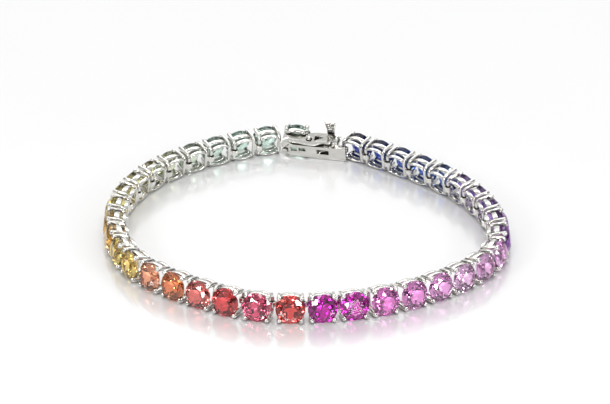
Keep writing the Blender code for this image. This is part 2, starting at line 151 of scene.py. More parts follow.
STUD_DEPTH = 0.62
LATCH_STATIONS = [
    {"at": 0.085, "outer": 0.74, "inner": 0.82},
    {"at": 0.11, "outer": 0.74, "inner": 0.87},
    {"at": 0.17, "outer": 0.76, "inner": 0.90},
    {"at": 0.27, "outer": 0.74, "inner": 0.93},
    {"at": 0.345, "outer": 0.50, "inner": 0.97},
    {"at": 0.42, "outer": 0.14, "inner": 1.00},
    {"at": 0.50, "outer": 0.06, "inner": 0.99},
    {"at": 0.59, "outer": 0.04, "inner": 0.92},
    {"at": 0.68, "outer": 0.04, "inner": 0.80},
    {"at": 0.775, "outer": 0.10, "inner": 0.82},
    {"at": 0.80, "outer": 0.36, "inner": 0.64},
]
LATCH_WINDOW = {"start": 0.51, "end": 0.66, "outer": 0.28, "inner": 0.72, "point": 0.40}

# Fine forms of the clasp
ROUND = 2
ROUND_SIDES = 24
SOFT_EDGE = 0.07 * MM
SOFT_ANGLE = math.radians(35)
FLAT_ANGLE = math.radians(1)
SAME_PLACE = 1e-7
GRIP_RIDGES = 4
RIDGE_RADIUS = 0.13 * MM
RIDGE_SQUARENESS = 2.4
JOIN = 0.1 * MM

# Colours of the stones, from the clasp's own round the left side, the front and the right side.
# Each family runs from its first colour to its last
STONES = [
    {"name": "mint_green", "stones": 4, "first": (0.70, 0.93, 0.81), "last": (0.70, 0.92, 0.78)},
    {"name": "pale_green", "stones": 2, "first": (0.78, 0.94, 0.72), "last": (0.84, 0.94, 0.62)},
    {"name": "lemon_yellow", "stones": 4, "first": (0.97, 0.94, 0.54), "last": (0.99, 0.87, 0.28)},
    {"name": "amber", "stones": 2, "first": (0.96, 0.66, 0.24), "last": (0.97, 0.62, 0.18)},
    {"name": "golden_yellow", "stones": 2, "first": (1.0, 0.78, 0.20), "last": (1.0, 0.72, 0.18)},
    {"name": "orange", "stones": 2, "first": (0.99, 0.42, 0.23), "last": (0.92, 0.27, 0.10)},
    {"name": "coral", "stones": 2, "first": (0.88, 0.20, 0.17), "last": (0.82, 0.08, 0.08)},
    {"name": "rose_red", "stones": 1, "first": (0.88, 0.11, 0.21), "last": (0.88, 0.11, 0.21)},
    {"name": "vermilion", "stones": 1, "first": (0.88, 0.09, 0.08), "last": (0.88, 0.09, 0.08)},
    {"name": "fuchsia", "stones": 2, "first": (0.60, 0.008, 0.40), "last": (0.68, 0.02, 0.47)},
    {"name": "hot_pink", "stones": 3, "first": (1.0, 0.29, 0.78), "last": (1.0, 0.46, 0.89)},
    {"name": "light_pink", "stones": 3, "first": (1.0, 0.62, 0.94), "last": (1.0, 0.52, 0.93)},
    {"name": "violet", "stones": 2, "first": (0.34, 0.08, 0.52), "last": (0.36, 0.12, 0.58)},
    {"name": "lilac", "stones": 3, "first": (0.46, 0.26, 0.72), "last": (0.42, 0.26, 0.74)},
    {"name": "sapphire_blue", "stones": 5, "first": (0.05, 0.16, 0.60), "last": (0.02, 0.04, 0.28)},
]
STONE_IOR = 1.77
ZONE_SCALE = 700
ZONE_TINT = (0.95, 0.88, 0.95, 1.0)

# Metal
METAL_LIGHT = (0.86, 0.85, 0.82, 1.0)
METAL_DARK = (0.72, 0.71, 0.67, 1.0)
# Painted shade: the near black the metal's base colour takes in recesses and between parts, mixed
# in by ambient occlusion
METAL_PAINTED_SHADE = (0.12, 0.115, 0.10, 1.0)
PAINTED_SHADE_REACH = 0.5 * MM
PAINTED_SHADE_SAMPLES = 4
METAL_CLOUD_SCALE = 900
WAVE_STRETCH = (0.4, 1, 1)
WAVE_STRENGTH = 1.0
WAVE_HEIGHT = 0.09 * MM
MARK_SCALE = 6000
MARK_STRETCH = (1, 1, 0.2)
MARK_STRENGTH = 0.06
MARK_HEIGHT = 0.01 * MM
MARK_ROUGHNESS = (0.04, 0.13)
NOISE_MIDDLE = (0.3, 0.7)

# Camera and studio. The camera's elevation, target and lens come from fits to the photograph
CAMERA_ELEVATION = math.radians(25.97)
CAMERA_DISTANCE = 450 * MM
CAMERA_TARGET = Vector((-0.18 * MM, 5.98 * MM, 0.0))
CAMERA_LENS = 165.52
CAMERA_SENSOR = 36
CAMERA_RANGE = (0.01, 10)
FLOOR_REACH = 0.3
FLOOR_DROP = 0.02 * MM
FLOOR_IOR = 3.2
FLOOR_CLOUD_SCALE = 30
FLOOR_FIRST = (0.93, 0.93, 0.935, 1.0)
FLOOR_LAST = (0.95, 0.95, 0.95, 1.0)
FLOOR_ROUGHNESS = (0.15, 0.18)
HORIZON_LEVEL = 0.22
WALL_LEVEL = 0.88
WALL_BAND = (-0.05, 0.15)
CEILING_LEVEL = 0.72
CEILING_BAND = (0.78, 0.86)
FRONT_LEVEL = 0.8
FRONT_BAND = (-0.35, 0.25)
LENS_LEVEL = 0.2
LENS_BAND = (0.82, 0.9)
CARD_LEVEL = 0.06
CARD_BAND = (0.55, 0.62)
CARD_TOP_BAND = (0.3, 0.4)
LAMPS = [
    {"name": "back_light", "at": (0.0, 0.4, 0.38), "size": (0.5, 0.12), "power": 0.75},
    {"name": "top_light", "at": (0.0, -0.14, 0.55), "size": (0.16, 0.12), "power": 0.34},
    {"name": "left_light", "at": (-0.34, -0.3, 0.26), "size": (0.08, 0.08), "power": 0.36},
    {"name": "right_light", "at": (0.36, -0.28, 0.22), "size": (0.08, 0.08), "power": 0.36},
    {"name": "low_left_light", "at": (-0.14, -0.42, 0.06), "size": (0.045, 0.045), "power": 0.12},
    {"name": "low_right_light", "at": (0.17, -0.4, 0.05), "size": (0.045, 0.045), "power": 0.12},
    {"name": "high_left_light", "at": (-0.12, -0.26, 0.36), "size": (0.045, 0.045), "power": 0.15},
    {"name": "high_right_light", "at": (0.1, -0.24, 0.38), "size": (0.045, 0.045), "power": 0.15},
]

stone_radius = STONE_DIAMETER / 2
grip_radius = stone_radius - PRONG_GRIP
prong_inner_x = grip_radius * math.cos(PRONG_ANGLE)
prong_inner_z = grip_radius * math.sin(PRONG_ANGLE)
frame_x = prong_inner_x + PRONG_THICKNESS / 2
link_pitch = 2 * (prong_inner_x + PRONG_THICKNESS) + LINK_GAP
mid_rail_front = SEAT_DEPTH + RAIL_SLOT
base_rail_front = mid_rail_front + RAIL_DEPTH + RAIL_SLOT
basket_depth = base_rail_front + BASE_DEPTH
hinge_y = basket_depth - BAR_DEPTH / 2
eye_apothem = math.hypot(PRONG_THICKNESS, BAR_DEPTH) / 2 + EYE_CLEARANCE


def clasp_x(share):
    """A place on the clasp, as a share of its length from the hinge bar next to its stone."""
    return frame_x - share * CLASP_LENGTH


def box_y(share):
    """A depth on the clasp, as a share from the box's front to the plate's back."""
    return BOX_FRONT + share * (BOX_BACK + PLATE_THICKNESS - BOX_FRONT)


mouth_x = clasp_x(1) + PRONG_THICKNESS / 2 + LINK_GAP
half_box = BOX_WIDTH / 2
half_pocket = half_box - BOX_WALL
pocket_end = -stone_radius
pocket_front = BOX_FRONT + BOX_WALL
pocket_back = BOX_BACK - BOX_WALL
half_tongue = half_pocket - TONGUE_CLEARANCE
thumb_middle_x = mouth_x + THUMB_FROM_MOUTH + THUMB_WIDTH / 2
latch_low = half_box + LATCH_CLEARANCE
latch_top = latch_low + LATCH_THICKNESS
pin_eye_hole = PIN_RADIUS + PIN_CLEARANCE
pin_z = latch_low + LATCH_THICKNESS / 2
ear_reach = pin_eye_hole + PIN_EYE_WALL + EAR_INSET
pin_x = mouth_x + EAR_SETBACK + ear_reach
ear_inner = box_y(0.3)
ear_outer = box_y(0.7)


def half_width(y):
    """Half the link's width at a depth behind the girdle."""
    return prong_inner_z + PRONG_WIDTH - y * math.tan(LEAN)


# Route of the chain


def route_point(turn, scale):
    """The point of the closed route at a share of a full turn, smooth through its points."""
    count = len(ROUTE)
    place = (turn % 1.0) * count
    first = int(place)
    u = place - first
    p0, p1, p2, p3 = (Vector(ROUTE[(first + step) % count]) for step in (-1, 0, 1, 2))
    point = (
        2 * p1
        + (p2 - p0) * u
        + (2 * p0 - 5 * p1 + 4 * p2 - p3) * u**2
        + (3 * p1 - p0 - 3 * p2 + p3) * u**3
    )
    return point * (scale / 2)


def bisect(too_low, low, high, steps=40):
    """The value at which too_low(value) turns from true to false."""
    for _ in range(steps):
        middle = (low + high) / 2
        if too_low(middle):
            low = middle
        else:
            high = middle
    return (low + high) / 2


def next_turn(turn, length, scale):
    """Where a straight piece of this length that starts on the route meets it again."""
    here = route_point(turn, scale)
    return bisect(
        lambda there: (route_point(there, scale) - here).length < length, turn, turn + 0.3
    )


def hinge_turns(scale):
    """The turn of each hinge round the route, from the clasp's fixed end onwards."""
    turns = [CLASP_TURN]
    for _ in range(LINK_COUNT):
        turns.append(next_turn(turns[-1], link_pitch, scale))
    return turns


def chain_fits_short(scale):
    turns = hinge_turns(scale)
    return next_turn(turns[-1], CLASP_LENGTH, scale) > turns[0] + 1


def frame_between(start, end, lean):
    """The frame of a link whose far hinge bar is at start and whose own is at end."""
    along = (end - start).normalized()
    turned = Matrix.Rotation(math.atan2(along.y, along.x), 4, "Z")
    turned = turned @ Matrix.Rotation(-lean, 4, "X")
    origin = Vector((end.x, end.y, 0)) - turned @ Vector((frame_x, hinge_y, 0))
    return Matrix.Translation(origin) @ turned


scale = bisect(chain_fits_short, 0.5, 2.0)
hinges = [route_point(turn, scale) for turn in hinge_turns(scale)]
link_frames = [frame_between(a, b, LEAN) for a, b in zip(hinges, hinges[1:])]
clasp_frame = frame_between(hinges[-1], hinges[0], CLASP_LEAN)
latch_pivot = Vector(frame["joints"][0]["pos_m"])
shift = latch_pivot - clasp_frame @ Vector((pin_x, box_y(0.5), pin_z))
link_frames = [Matrix.Translation(shift) @ place for place in link_frames]
clasp_frame = Matrix.Translation(shift) @ clasp_frame


# Meshes


def finished(bm):
    """The mesh of a bmesh whose faces are turned outwards."""
    bmesh.ops.recalc_face_normals(bm, faces=bm.faces)
    mesh = bpy.data.meshes.new("solid")
    bm.to_mesh(mesh)
    bm.free()
    return mesh


def smooth(mesh):
    mesh.shade_smooth()
    return mesh


def joined(meshes):
    """One mesh from several, each a closed shell of its own."""
    bm = bmesh.new()
    for mesh in meshes:
        bm.from_mesh(mesh)
    made = bpy.data.meshes.new("joined")
    bm.to_mesh(made)
    bm.free()
    return made


def transformed(mesh, matrix):
    copy = mesh.copy()
    copy.transform(matrix)
    return copy


def rounded_section(width, height, sides, squareness):
    """Points round a superellipse: 2 gives an ellipse and larger values a rounded rectangle."""
    points = []
    for step in range(sides):
        turn = 2 * math.pi * (step + 0.5) / sides
        c, s = math.cos(turn), math.sin(turn)
        reach = (abs(c) ** squareness + abs(s) ** squareness) ** (-1 / squareness)
        points.append((width / 2 * reach * c, height / 2 * reach * s))
    return points


def station(at, width, height):
    return {"at": Vector(at), "width": width, "height": height}


def swept(path, across, squareness=2.6, sides=WIRE_SIDES, dome=0.0):
    """A wire along a path of stations.

    Its width lies along the fixed direction across, and its height at right angles to that and to
    the path. dome is the length of the rounded ends, 0 for flat ones.
    """
    across = Vector(across).normalized()
    rings = []
    count = len(path)
    for index, here in enumerate(path):
        before = path[max(index - 1, 0)]["at"]
        after = path[min(index + 1, count - 1)]["at"]
        tangent = (after - before).normalized()
        normal = across.cross(tangent).normalized()
        section = rounded_section(here["width"], here["height"], sides, squareness)
        rings.append((here["at"], tangent, normal, section))
    bm = bmesh.new()

    def ring(at, normal, section, share=1.0):
        return [bm.verts.new(at + across * (a * share) + normal * (b * share)) for a, b in section]

    layers = []
    if dome:
        at, tangent, normal, section = rings[0]
        for share, reach in DOME_RINGS:
            layers.append(ring(at - tangent * dome * reach, normal, section, share))
    layers += [ring(at, normal, section) for at, tangent, normal, section in rings]
    if dome:
        at, tangent, normal, section = rings[-1]
        for share, reach in reversed(DOME_RINGS):
            layers.append(ring(at + tangent * dome * reach, normal, section, share))
    for low, high in zip(layers, layers[1:]):
        for step in range(sides):
            after = (step + 1) % sides
            bm.faces.new((low[step], low[after], high[after], high[step]))
    ends = ((layers[0], rings[0], -1), (layers[-1], rings[-1], 1))
    for layer, (at, tangent, normal, section), way in ends:
        tip = bm.verts.new(at + tangent * (dome * way))
        for step in range(sides):
            bm.faces.new((layer[step], layer[(step + 1) % sides], tip))
    return finished(bm)


def ball(radius, middle, segments=16, rings=10):
    bm = bmesh.new()
    bmesh.ops.create_uvsphere(
        bm, u_segments=segments, v_segments=rings, radius=radius, matrix=Matrix.Translation(middle)
    )
    return finished(bm)


def block(x, y, z):
    """A box from its low and high value along each axis."""
    bm = bmesh.new()
    size = Matrix.Diagonal((x[1] - x[0], y[1] - y[0], z[1] - z[0], 1))
    middle = Matrix.Translation(((x[0] + x[1]) / 2, (y[0] + y[1]) / 2, (z[0] + z[1]) / 2))
    bmesh.ops.create_cube(bm, size=1, matrix=middle @ size)
    return finished(bm)


def prism(outline, axis, low, high):
    """An outline of (x, y), (x, z) or (y, z) pairs extruded along the third axis."""
    place = {
        "x": lambda a, b, c: (c, a, b),
        "y": lambda a, b, c: (a, c, b),
        "z": lambda a, b, c: (a, b, c),
    }[axis]
    bm = bmesh.new()
    face = bm.faces.new([bm.verts.new(place(a, b, low)) for a, b in outline])
    raised = bmesh.ops.extrude_face_region(bm, geom=[face])["geom"]
    moved = [item for item in raised if isinstance(item, bmesh.types.BMVert)]
    bmesh.ops.translate(bm, verts=moved, vec=place(0, 0, high - low))
    return finished(bm)


def circle(radius, sides, middle=(0.0, 0.0)):
    turns = [2 * math.pi * (step + 0.5) / sides for step in range(sides)]
    return [(middle[0] + radius * math.cos(t), middle[1] + radius * math.sin(t)) for t in turns]


def softened(solids, cutters=(), edge=SOFT_EDGE, segments=2):
    """One body from meshes that run into each other, less the cutters, with its edges rounded."""
    made = bpy.data.objects.new("fused", solids[0])
    bpy.context.scene.collection.objects.link(made)
    helpers = []
    for operation, meshes in (("UNION", solids[1:]), ("DIFFERENCE", cutters)):
        for mesh in meshes:
            helper = bpy.data.objects.new("helper", mesh)
            bpy.context.scene.collection.objects.link(helper)
            helpers.append(helper)
            boolean = made.modifiers.new(operation, "BOOLEAN")
            boolean.operation = operation
            boolean.object = helper
    fused = evaluated(made)
    for item in [made, *helpers]:
        bpy.data.objects.remove(item)
    bm = bmesh.new()
    bm.from_mesh(fused)
    bmesh.ops.remove_doubles(bm, verts=bm.verts, dist=SAME_PLACE)
    bmesh.ops.dissolve_limit(bm, angle_limit=FLAT_ANGLE, verts=bm.verts, edges=bm.edges)
    bm.to_mesh(fused)
    bm.free()
    rounded = bpy.data.objects.new("rounded", smooth(fused))
    bpy.context.scene.collection.objects.link(rounded)
    bevel = rounded.modifiers.new("edges", "BEVEL")
    bevel.width = edge
    bevel.segments = segments
    bevel.limit_method = "ANGLE"
    bevel.angle_limit = SOFT_ANGLE
    normals = rounded.modifiers.new("normals", "WEIGHTED_NORMAL")
    normals.keep_sharp = True
    result = evaluated(rounded)
    bpy.data.objects.remove(rounded)
    return result


def evaluated(obj):
    """The plain mesh of an object with its modifiers."""
    graph = bpy.context.evaluated_depsgraph_get()
    return bpy.data.meshes.new_from_object(
        obj.evaluated_get(graph), preserve_all_data_layers=True, depsgraph=graph
    )


# Stone


def brilliant():
    """A round brilliant: table, star, kite and girdle facets over a pavilion cut in two steps."""
    table_radius = TABLE_DIAMETER / 2
    girdle_front = 0.0
    girdle_back = GIRDLE_THICKNESS
    star_radius = table_radius + STAR_REACH * (stone_radius - table_radius)
    slope = (star_radius * math.cos(math.pi / 8) - table_radius) / (stone_radius - table_radius)
    star_y = -CROWN_HEIGHT + slope * CROWN_HEIGHT
    corner = math.cos(math.pi / 8)
    lower_radius = PAVILION_BREAK * stone_radius
    lower_y = girdle_back + PAVILION_SLOPE * (stone_radius - lower_radius * corner)
    inner_slope = corner * (PAVILION_DEPTH - lower_y) / lower_radius
    excess = stone_radius * PAVILION_SLOPE + girdle_back - PAVILION_DEPTH
    inner_radius = excess / (PAVILION_SLOPE - inner_slope)
    inner_y = PAVILION_DEPTH - inner_slope * inner_radius
    bm = bmesh.new()

    def ring(radius, y, steps, offset=0.0):
        made = []
        for step in range(steps):
            turn = 2 * math.pi * (step + offset) / steps
            made.append(bm.verts.new((radius * math.cos(turn), y, radius * math.sin(turn))))
        return made

    table = ring(table_radius, -CROWN_HEIGHT, 8)
    stars = ring(star_radius, star_y, 8, 0.5)
    upper = ring(stone_radius, girdle_front, 16)
    lower = ring(stone_radius, girdle_back, 16)
    mains = ring(lower_radius, lower_y, 8, 0.5)
    inner = ring(inner_radius, inner_y, 8)
    culet = bm.verts.new((0, PAVILION_DEPTH, 0))
    bm.faces.new(table)
    for step in range(8):
        after = (step + 1) % 8
        before = (step - 1) % 8
        middle = (2 * step + 1) % 16
        far = (2 * step + 2) % 16
        bm.faces.new((table[step], table[after], stars[step]))
        bm.faces.new((table[step], stars[step], upper[2 * step], stars[before]))
        bm.faces.new((stars[step], upper[middle], upper[2 * step]))
        bm.faces.new((stars[step], upper[far], upper[middle]))
        bm.faces.new((inner[step], mains[before], lower[2 * step], mains[step]))
        bm.faces.new((culet, inner[step], mains[step], inner[after]))
        bm.faces.new((mains[step], lower[2 * step], lower[middle]))
        bm.faces.new((mains[step], lower[middle], lower[far]))
    for step in range(16):
        after = (step + 1) % 16
        bm.faces.new((upper[step], upper[after], lower[after], lower[step]))
    return finished(bm)


# Settings


def end_wire(x, depth):
    """The two prongs at one end of a setting and the bar between their feet, one bent wire."""
    foot_y = depth - BAR_DEPTH / 2
    lean = math.tan(LEAN)
    half_prong = PRONG_WIDTH / 2
    tip_y = -PRONG_RISE + BEAD_RADIUS
    corner = CORNER_RADIUS - BAR_DEPTH / 2

    def prong_z(y):
        return half_width(y) - half_prong

    half = []
    straight_end = foot_y - corner
    for share in PRONG_STATIONS:
        y = tip_y + share * (straight_end - tip_y)
        inward = BEAD_LEAN * max(0.0, 1 - share / BEAD_LEAN_REACH) ** 2
        width = PRONG_TIP_WIDTH + share * (PRONG_FOOT_WIDTH - PRONG_TIP_WIDTH)
        half.append((y, prong_z(y) - inward, width))
    start_z = prong_z(straight_end)
    for step in range(1, CORNER_STEPS + 1):
        share = step / CORNER_STEPS
        turn = math.pi / 2 * share
        y = straight_end + corner * math.sin(turn)
        z = start_z - corner * (1 - math.cos(turn)) - lean * (y - straight_end)
        half.append((y, z, PRONG_FOOT_WIDTH * (1 - share) + BAR_DEPTH * share))
    half.append((foot_y, FOOT_STATION * half[-1][1], BAR_DEPTH))
    whole = half + [(y, -z, height) for y, z, height in reversed(half)]
    path = [station((x, y, z), PRONG_THICKNESS, height) for y, z, height in whole]
    wire = smooth(swept(path, (1, 0, 0), squareness=WIRE_SQUARENESS))
    beads = []
    for side in (-1, 1):
        bead = Vector((x - math.copysign(BEAD_LEAN, x) * 0.6, tip_y, side * half[0][1]))
        beads.append(smooth(ball(BEAD_RADIUS, bead)))
    return [wire, *beads]


def rail(front, depth, side):
    """One arc of a gallery rail, from prong to prong above the stone or below it."""
    end_x = prong_inner_x + JOIN
    crown_z = half_width(front + depth) - RAIL_WALL / 2
    end_z = half_width(front) - PRONG_WIDTH + JOIN
    rise = crown_z - end_z
    radius = (end_x**2 + rise**2) / (2 * rise)
    reach = math.asin(end_x / radius)
    path = []
    for step in range(ARC_STEPS + 1):
        turn = reach * (2 * step / ARC_STEPS - 1)
        z = crown_z - radius + radius * math.cos(turn)
        at = (radius * math.sin(turn), front + depth / 2, side * z)
        path.append(station(at, depth, RAIL_WALL))
    return smooth(swept(path, (0, 1, 0), squareness=RAIL_SQUARENESS, sides=RAIL_SIDES))


def hinge_eye(bar_x, to_x):
    """An eye round the bar at bar_x, with the neck that carries it from to_x."""
    outer = eye_apothem + EYE_WALL
    middle = (bar_x, hinge_y)
    eye = prism(circle(outer, ROUND_SIDES, middle), "z", -EYE_HEIGHT / 2, EYE_HEIGHT / 2)
    neck = block(
        (bar_x + eye_apothem + EYE_WALL / 2, to_x),
        (hinge_y - BAR_DEPTH / 2, hinge_y + BAR_DEPTH / 2),
        (-EYE_HEIGHT / 2, EYE_HEIGHT / 2),
    )
    hole = prism(circle(eye_apothem, ROUND_SIDES, middle), "z", -EYE_HEIGHT, EYE_HEIGHT)
    return softened([eye, neck], [hole])


def link_setting():
    """The metal of one link: two bent end wires, four rail arcs and the hinge eye."""
    pieces = end_wire(frame_x, basket_depth) + end_wire(-frame_x, basket_depth)
    for side in (-1, 1):
        pieces.append(rail(mid_rail_front, RAIL_DEPTH, side))
        pieces.append(rail(base_rail_front, BASE_DEPTH, side))
    pieces.append(hinge_eye(frame_x - link_pitch, -frame_x))
    return joined(pieces)


# Clasp


def smooth_outline(rows, edge, steps=4):
    """A smooth edge of the latch through its stations, which stays at each of them."""
    points = [Vector((clasp_x(row["at"]), box_y(row[edge]))) for row in rows]
    made = []
    for index in range(len(points) - 1):
        p1, p2 = points[index], points[index + 1]
        p0 = points[index - 1] if index else p1
        p3 = points[index + 2] if index + 2 < len(points) else p2
        for step in range(steps):
            u = step / steps
            point = 2 * p1 + (p2 - p0) * u
            point += (2 * p0 - 5 * p1 + 4 * p2 - p3) * u**2
            point += (3 * p1 - p0 - 3 * p2 + p3) * u**3
            made.append(tuple(point / 2))
    made.append(tuple(points[-1]))
    return made


def window_outline():
    """The triangle of the latch's window. The box is pierced under it too."""
    wide = clasp_x(LATCH_WINDOW["start"])
    return [
        (wide, box_y(LATCH_WINDOW["outer"])),
        (wide, box_y(LATCH_WINDOW["inner"])),
        (clasp_x(LATCH_WINDOW["end"]), box_y(LATCH_WINDOW["point"])),
    ]


def latch():
    """The wavy safety latch: a flat lever with its pin's eye, a stud hole and a window."""
    outline = smooth_outline(LATCH_STATIONS, "outer")
    outline += list(reversed(smooth_outline(LATCH_STATIONS, "inner")))
    lever = prism(outline, "z", latch_low, latch_top)
    arm = block(
        (pin_x, clasp_x(LATCH_STATIONS[-1]["at"]) + JOIN),
        (ear_inner + LATCH_CLEARANCE, ear_outer - LATCH_CLEARANCE),
        (latch_low, latch_top),
    )
    barrel = prism(
        circle(pin_eye_hole + PIN_EYE_WALL, ROUND_SIDES, (pin_x, pin_z)),
        "y",
        ear_inner + LATCH_CLEARANCE,
        ear_outer - LATCH_CLEARANCE,
    )
    pin_hole = prism(
        circle(pin_eye_hole, ROUND_SIDES, (pin_x, pin_z)), "y", box_y(0), box_y(1)
    )
    stud_hole = prism(
        circle(STUD_RADIUS + LATCH_CLEARANCE, ROUND_SIDES, (clasp_x(STUD_AT), box_y(STUD_DEPTH))),
        "z",
        latch_low - JOIN,
        latch_top + JOIN,
    )
    window = prism(window_outline(), "z", latch_low - JOIN, latch_top + JOIN)
    return softened([lever, arm, barrel], [pin_hole, stud_hole, window])


def clasp_box():
    """The box with its pierced plate and ears."""
    cheek_end = frame_x + PRONG_THICKNESS / 2
    shell = block((mouth_x, cheek_end), (BOX_FRONT, BOX_BACK), (-half_box, half_box))
    pocket = block(
        (mouth_x - JOIN, pocket_end), (pocket_front, pocket_back), (-half_pocket, half_pocket)
    )
    under_stone = block(
        (pocket_end + BOX_WALL, cheek_end + JOIN),
        (BOX_FRONT - JOIN, pocket_back),
        (-half_pocket, half_pocket),
    )
    end_gap = block(
        (cheek_end - PRONG_THICKNESS - 2 * EYE_CLEARANCE - eye_apothem, cheek_end + JOIN),
        (pocket_back - JOIN, BOX_BACK + PLATE_THICKNESS + JOIN),
        (-EYE_HEIGHT / 2 - EYE_CLEARANCE, EYE_HEIGHT / 2 + EYE_CLEARANCE),
    )
    thumb_slot = block(
        (mouth_x - JOIN, thumb_middle_x + THUMB_NECK / 2 + TONGUE_CLEARANCE),
        (BOX_FRONT - JOIN, pocket_front + JOIN),
        (-half_tongue, half_tongue),
    )
    end = clasp_x(PLATE_START) - half_box
    far = clasp_x(PLATE_END)
    turns = [math.pi / 2 - math.pi * step / ARC_STEPS for step in range(ARC_STEPS + 1)]
    outline = [(end + half_box * math.cos(t), half_box * math.sin(t)) for t in turns]
    outline += [(far, -half_box), (far, half_box)]
    plate = prism(outline, "y", BOX_BACK - JOIN, BOX_BACK + PLATE_THICKNESS)
    slots = [
        block(
            (clasp_x(slot["end"]), clasp_x(slot["start"])),
            (pocket_back - JOIN, BOX_BACK + PLATE_THICKNESS + JOIN),
            (slot["low"] * half_box, slot["high"] * half_box),
        )
        for slot in PLATE_SLOTS
    ]
    top = pin_z + pin_eye_hole + PIN_EYE_WALL
    ear = [
        (pin_x - ear_reach, half_box - JOIN),
        (pin_x + ear_reach, half_box - JOIN),
        (pin_x + ear_reach / 2, top),
        (pin_x - ear_reach / 2, top),
    ]
    pin_hole = prism(
        circle(pin_eye_hole, ROUND_SIDES, (pin_x, pin_z)),
        "y",
        ear_inner - EAR_THICKNESS - JOIN,
        ear_outer + EAR_THICKNESS + JOIN,
    )
    under_window = prism(window_outline(), "z", half_pocket - JOIN, half_box + JOIN)
    return softened(
        [
            shell,
            plate,
            prism(ear, "y", ear_inner - EAR_THICKNESS, ear_inner),
            prism(ear, "y", ear_outer, ear_outer + EAR_THICKNESS),
        ],
        [pocket, under_stone, thumb_slot, pin_hole, end_gap, under_window, *slots],
    )


def clasp_setting():
    """The clasp's own setting: its prongs, upper rails and hinge bar."""
    pieces = end_wire(frame_x, CLASP_SETTING_DEPTH) + end_wire(-frame_x, CLASP_SETTING_DEPTH)
    pieces += [rail(mid_rail_front, RAIL_DEPTH, side) for side in (-1, 1)]
    bar = [
        station((frame_x, hinge_y, side * (half_pocket + JOIN)), PRONG_THICKNESS, BAR_DEPTH)
        for side in (-1, 1)
    ]
    pieces.append(smooth(swept(bar, (1, 0, 0))))
    return joined(pieces)


def stud():
    """The ball stud that the latch snaps over."""
    at = Vector((clasp_x(STUD_AT), box_y(STUD_DEPTH), 0))
    head_z = latch_top + STUD_RADIUS / 2
    neck = [
        station(at + Vector((0, 0, z)), 2 * STUD_NECK_RADIUS, 2 * STUD_NECK_RADIUS)
        for z in (half_box - JOIN, head_z)
    ]
    head = ball(STUD_RADIUS, at + Vector((0, 0, head_z)), segments=32, rings=16)
    return joined([smooth(swept(neck, (1, 0, 0), squareness=ROUND)), smooth(head)])


def tongue():
    """The folded spring tongue with its eye and its ridged thumb tab."""
    butt_x = clasp_x(1) + eye_apothem
    fold_x = pocket_end - 2 * TONGUE_CLEARANCE
    back = hinge_y + TONGUE_LEAF
    leaf_end = thumb_middle_x - THUMB_NECK / 2
    leaf_front = pocket_front + TONGUE_CLEARANCE
    fold = [
        (butt_x, back - TONGUE_LEAF),
        (butt_x, back),
        (fold_x - TONGUE_LEAF, back),
        (fold_x, back - TONGUE_FOLD / 2),
        (fold_x - TONGUE_LEAF, back - TONGUE_FOLD),
        (leaf_end, leaf_front),
        (leaf_end, leaf_front + TONGUE_LEAF),
        (fold_x - 2 * TONGUE_LEAF, back - TONGUE_LEAF),
    ]
    thumb_back = BOX_FRONT - TONGUE_CLEARANCE
    top = half_width(0) + THUMB_RISE / 2
    neck_top = top - THUMB_RISE / 2
    thumb = [
        (thumb_middle_x - THUMB_NECK / 2, -half_tongue + TONGUE_CLEARANCE),
        (thumb_middle_x + THUMB_NECK / 2, -half_tongue + TONGUE_CLEARANCE),
        (thumb_middle_x + THUMB_NECK / 2, neck_top),
        (thumb_middle_x + THUMB_WIDTH / 2, top),
        (thumb_middle_x - THUMB_WIDTH / 2, top),
        (thumb_middle_x - THUMB_NECK / 2, neck_top),
    ]
    root = block(
        (thumb_middle_x - THUMB_NECK / 2 + JOIN, thumb_middle_x + THUMB_NECK / 2 - JOIN),
        (thumb_back - THUMB_THICKNESS / 2, leaf_front + TONGUE_LEAF / 2),
        (-half_tongue + 2 * TONGUE_CLEARANCE, half_tongue - 2 * TONGUE_CLEARANCE),
    )
    ridges = []
    for step in range(GRIP_RIDGES):
        z = top - RIDGE_RADIUS - step * (THUMB_RISE / 2) / GRIP_RIDGES
        reach = THUMB_WIDTH / 2 - RIDGE_RADIUS - step * (THUMB_WIDTH - THUMB_NECK) / 2 / GRIP_RIDGES
        y = thumb_back - THUMB_THICKNESS / 2
        height = THUMB_THICKNESS + 2 * RIDGE_RADIUS
        ridge = [
            station((thumb_middle_x + way * reach, y, z), 2 * RIDGE_RADIUS, height)
            for way in (-1, 1)
        ]
        ridges.append(
            smooth(swept(ridge, (0, 0, 1), squareness=RIDGE_SQUARENESS, dome=RIDGE_RADIUS / 2))
        )
    leaf = softened([prism(fold, "z", -half_tongue, half_tongue), root], edge=SOFT_EDGE / 2)
    tab = softened([prism(thumb, "y", thumb_back - THUMB_THICKNESS, thumb_back)])
    return joined([leaf, tab, hinge_eye(clasp_x(1), butt_x + 2 * TONGUE_LEAF), *ridges])


def pin():
    """The latch's pin, its ends slightly domed."""
    path = [
        station((pin_x, y, pin_z), 2 * PIN_RADIUS, 2 * PIN_RADIUS)
        for y in (ear_inner - EAR_THICKNESS, ear_outer + EAR_THICKNESS)
    ]
    dome = PIN_RADIUS / 4
    return smooth(swept(path, (1, 0, 0), squareness=ROUND, sides=ROUND_SIDES, dome=dome))


# Materials


def shader_of(name):
    material = bpy.data.materials.new(name)
    material.use_nodes = True
    tree = material.node_tree
    return material, tree, tree.nodes["Principled BSDF"]


def object_noise(tree, scale, detail=2.0, stretch=(1, 1, 1)):
    place = tree.nodes.new("ShaderNodeTexCoord")
    mapping = tree.nodes.new("ShaderNodeMapping")
    mapping.inputs["Scale"].default_value = stretch
    noise = tree.nodes.new("ShaderNodeTexNoise")
    noise.inputs["Scale"].default_value = scale
    noise.inputs["Detail"].default_value = detail
    tree.links.new(place.outputs["Object"], mapping.inputs["Vector"])
    tree.links.new(mapping.outputs["Vector"], noise.inputs["Vector"])
    return noise.outputs["Fac"]


